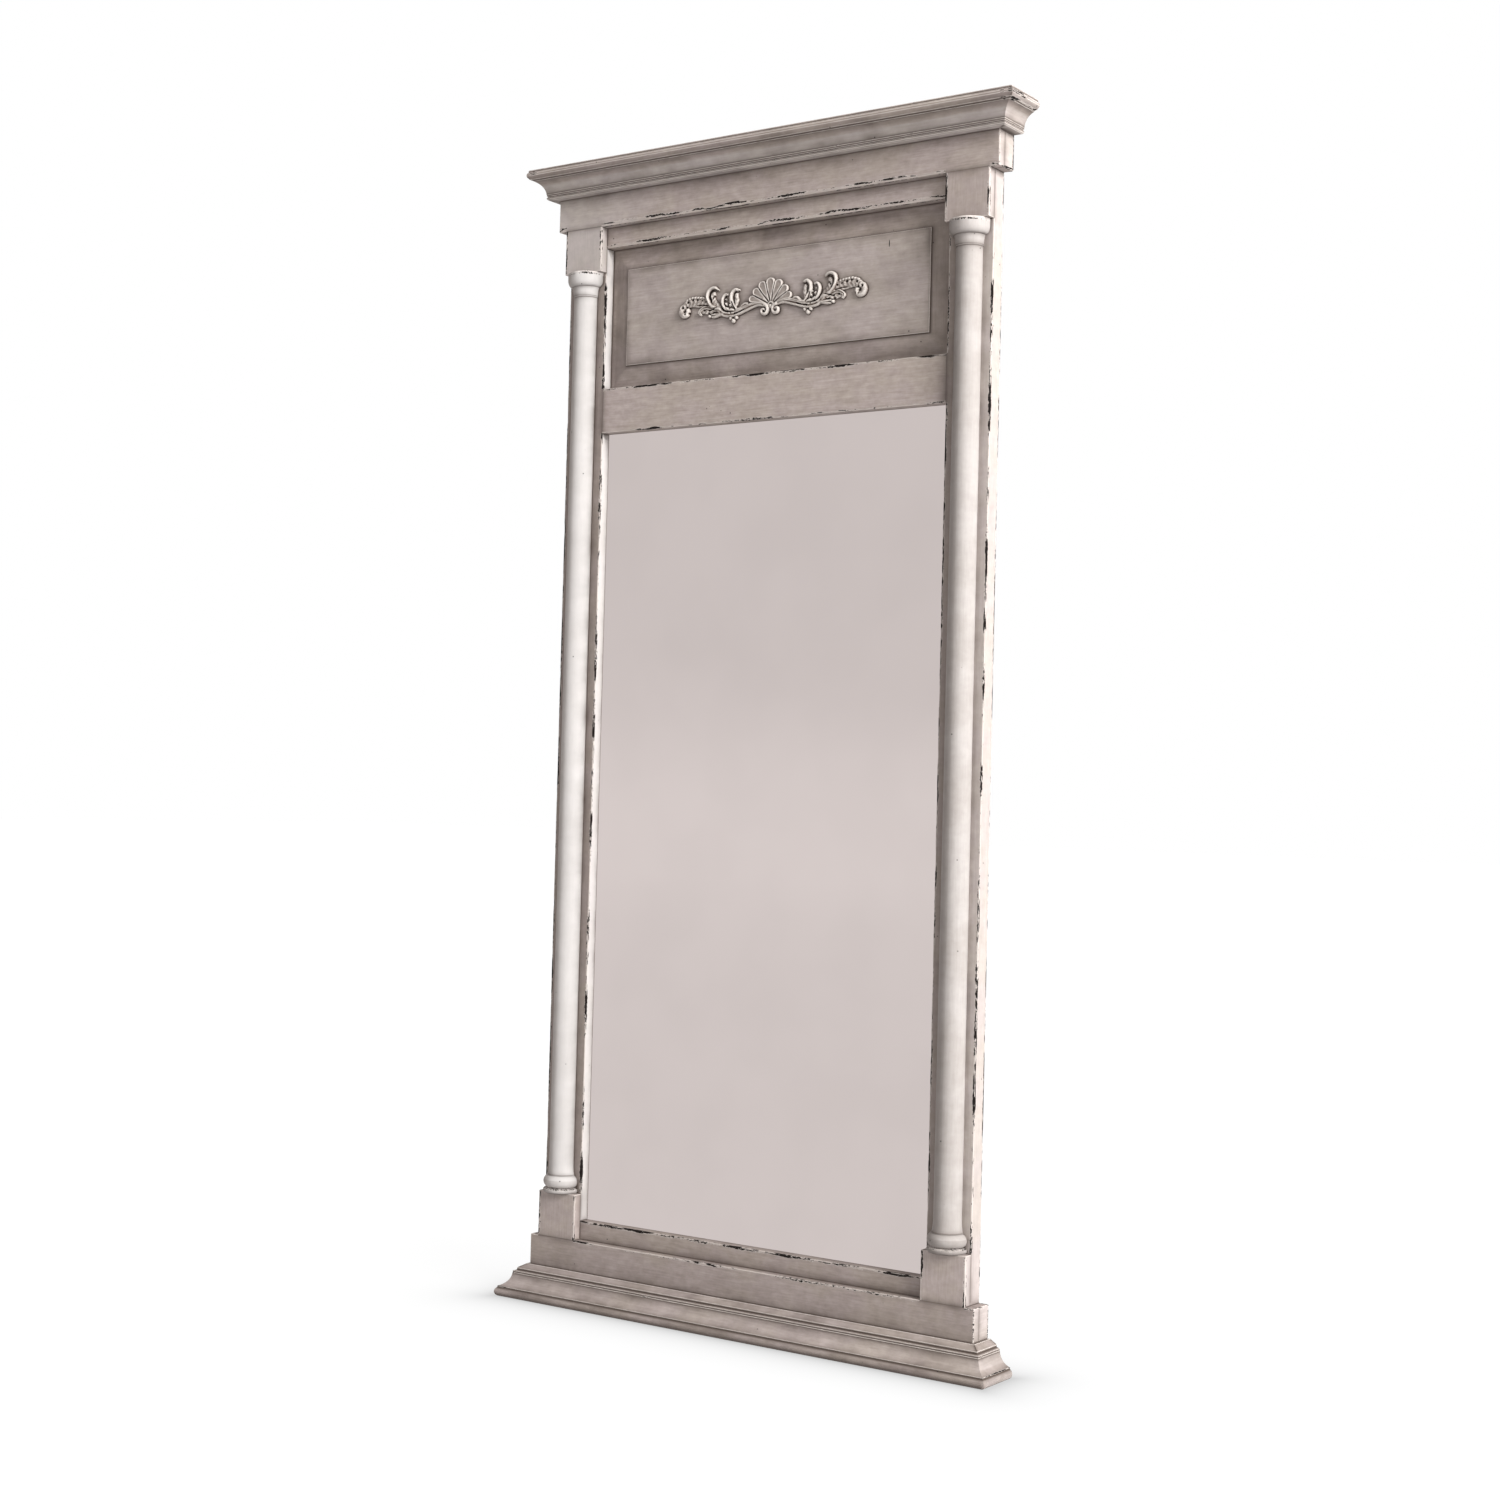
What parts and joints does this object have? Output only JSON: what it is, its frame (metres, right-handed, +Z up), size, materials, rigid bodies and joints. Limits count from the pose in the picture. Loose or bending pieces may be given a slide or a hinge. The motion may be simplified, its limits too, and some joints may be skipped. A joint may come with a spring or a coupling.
{
  "type": "floor mirror",
  "caption": "Tall painted floor mirror with half columns, a stepped cornice, a raised panel with a shell and scroll onlay, and ring hangers behind.",
  "frame": {"origin": "on the floor, under the middle of the mirror's outline", "axes": "+Z up, +Y from the glass's face towards the wall, +X to the right of a person who faces the glass"},
  "size_m": [1.047, 0.105, 2.134],
  "materials": {
    "frame_paint": "greige paint over wood, brushed along the grain, rubbed through at the edges, matt",
    "column_paint": "paler greige paint with upright streaks and brown in the turned hollows, satin",
    "carving": "cream paint on moulded onlays with dark brown glaze in the hollows, matt",
    "mirror_glass": "plain silvered glass, no bevel",
    "back_board": "bare brown hardboard",
    "steel": "zinc plated",
    "rubber": "black, matt"
  },
  "bodies": {
    "frame": {"stile_left": "frame_paint", "stile_right": "frame_paint", "top_rail": "frame_paint", "mid_rail": "frame_paint", "bottom_rail": "frame_paint", "frieze_board": "frame_paint", "frieze_return_left": "frame_paint", "frieze_return_right": "frame_paint", "base_board": "frame_paint", "base_return_left": "frame_paint", "base_return_right": "frame_paint", "upper_block_left": "frame_paint", "upper_block_right": "frame_paint", "lower_block_left": "frame_paint", "lower_block_right": "frame_paint", "cornice_front": "frame_paint", "cornice_left": "frame_paint", "cornice_right": "frame_paint", "cornice_cap": "frame_paint", "base_moulding_front": "frame_paint", "base_moulding_left": "frame_paint", "base_moulding_right": "frame_paint", "raised_panel": "frame_paint", "column_left": "column_paint", "column_right": "column_paint", "shell_onlay": "carving", "scroll_onlay_left": "carving", "scroll_onlay_right": "carving", "mirror_glass": "mirror_glass", "back_board": "back_board", "back_board_screws": "steel", "hanger_strap_left": "steel", "hanger_strap_right": "steel", "hanger_screws": "steel", "wall_pads": "rubber"},
    "ring_left": {"hanger_ring_left": "steel"},
    "ring_right": {"hanger_ring_right": "steel"}
  },
  "joints": [
    {"name": "ring_left_hinge", "type": "hinge", "parent": "frame", "child": "ring_left", "pos_m": [-0.416, 0.0485, 1.83], "axis": [1, 0, 0], "range_deg": [0, 180]},
    {"name": "ring_right_hinge", "type": "hinge", "parent": "frame", "child": "ring_right", "pos_m": [0.416, 0.0485, 1.83], "axis": [1, 0, 0], "range_deg": [0, 180]}
  ]
}
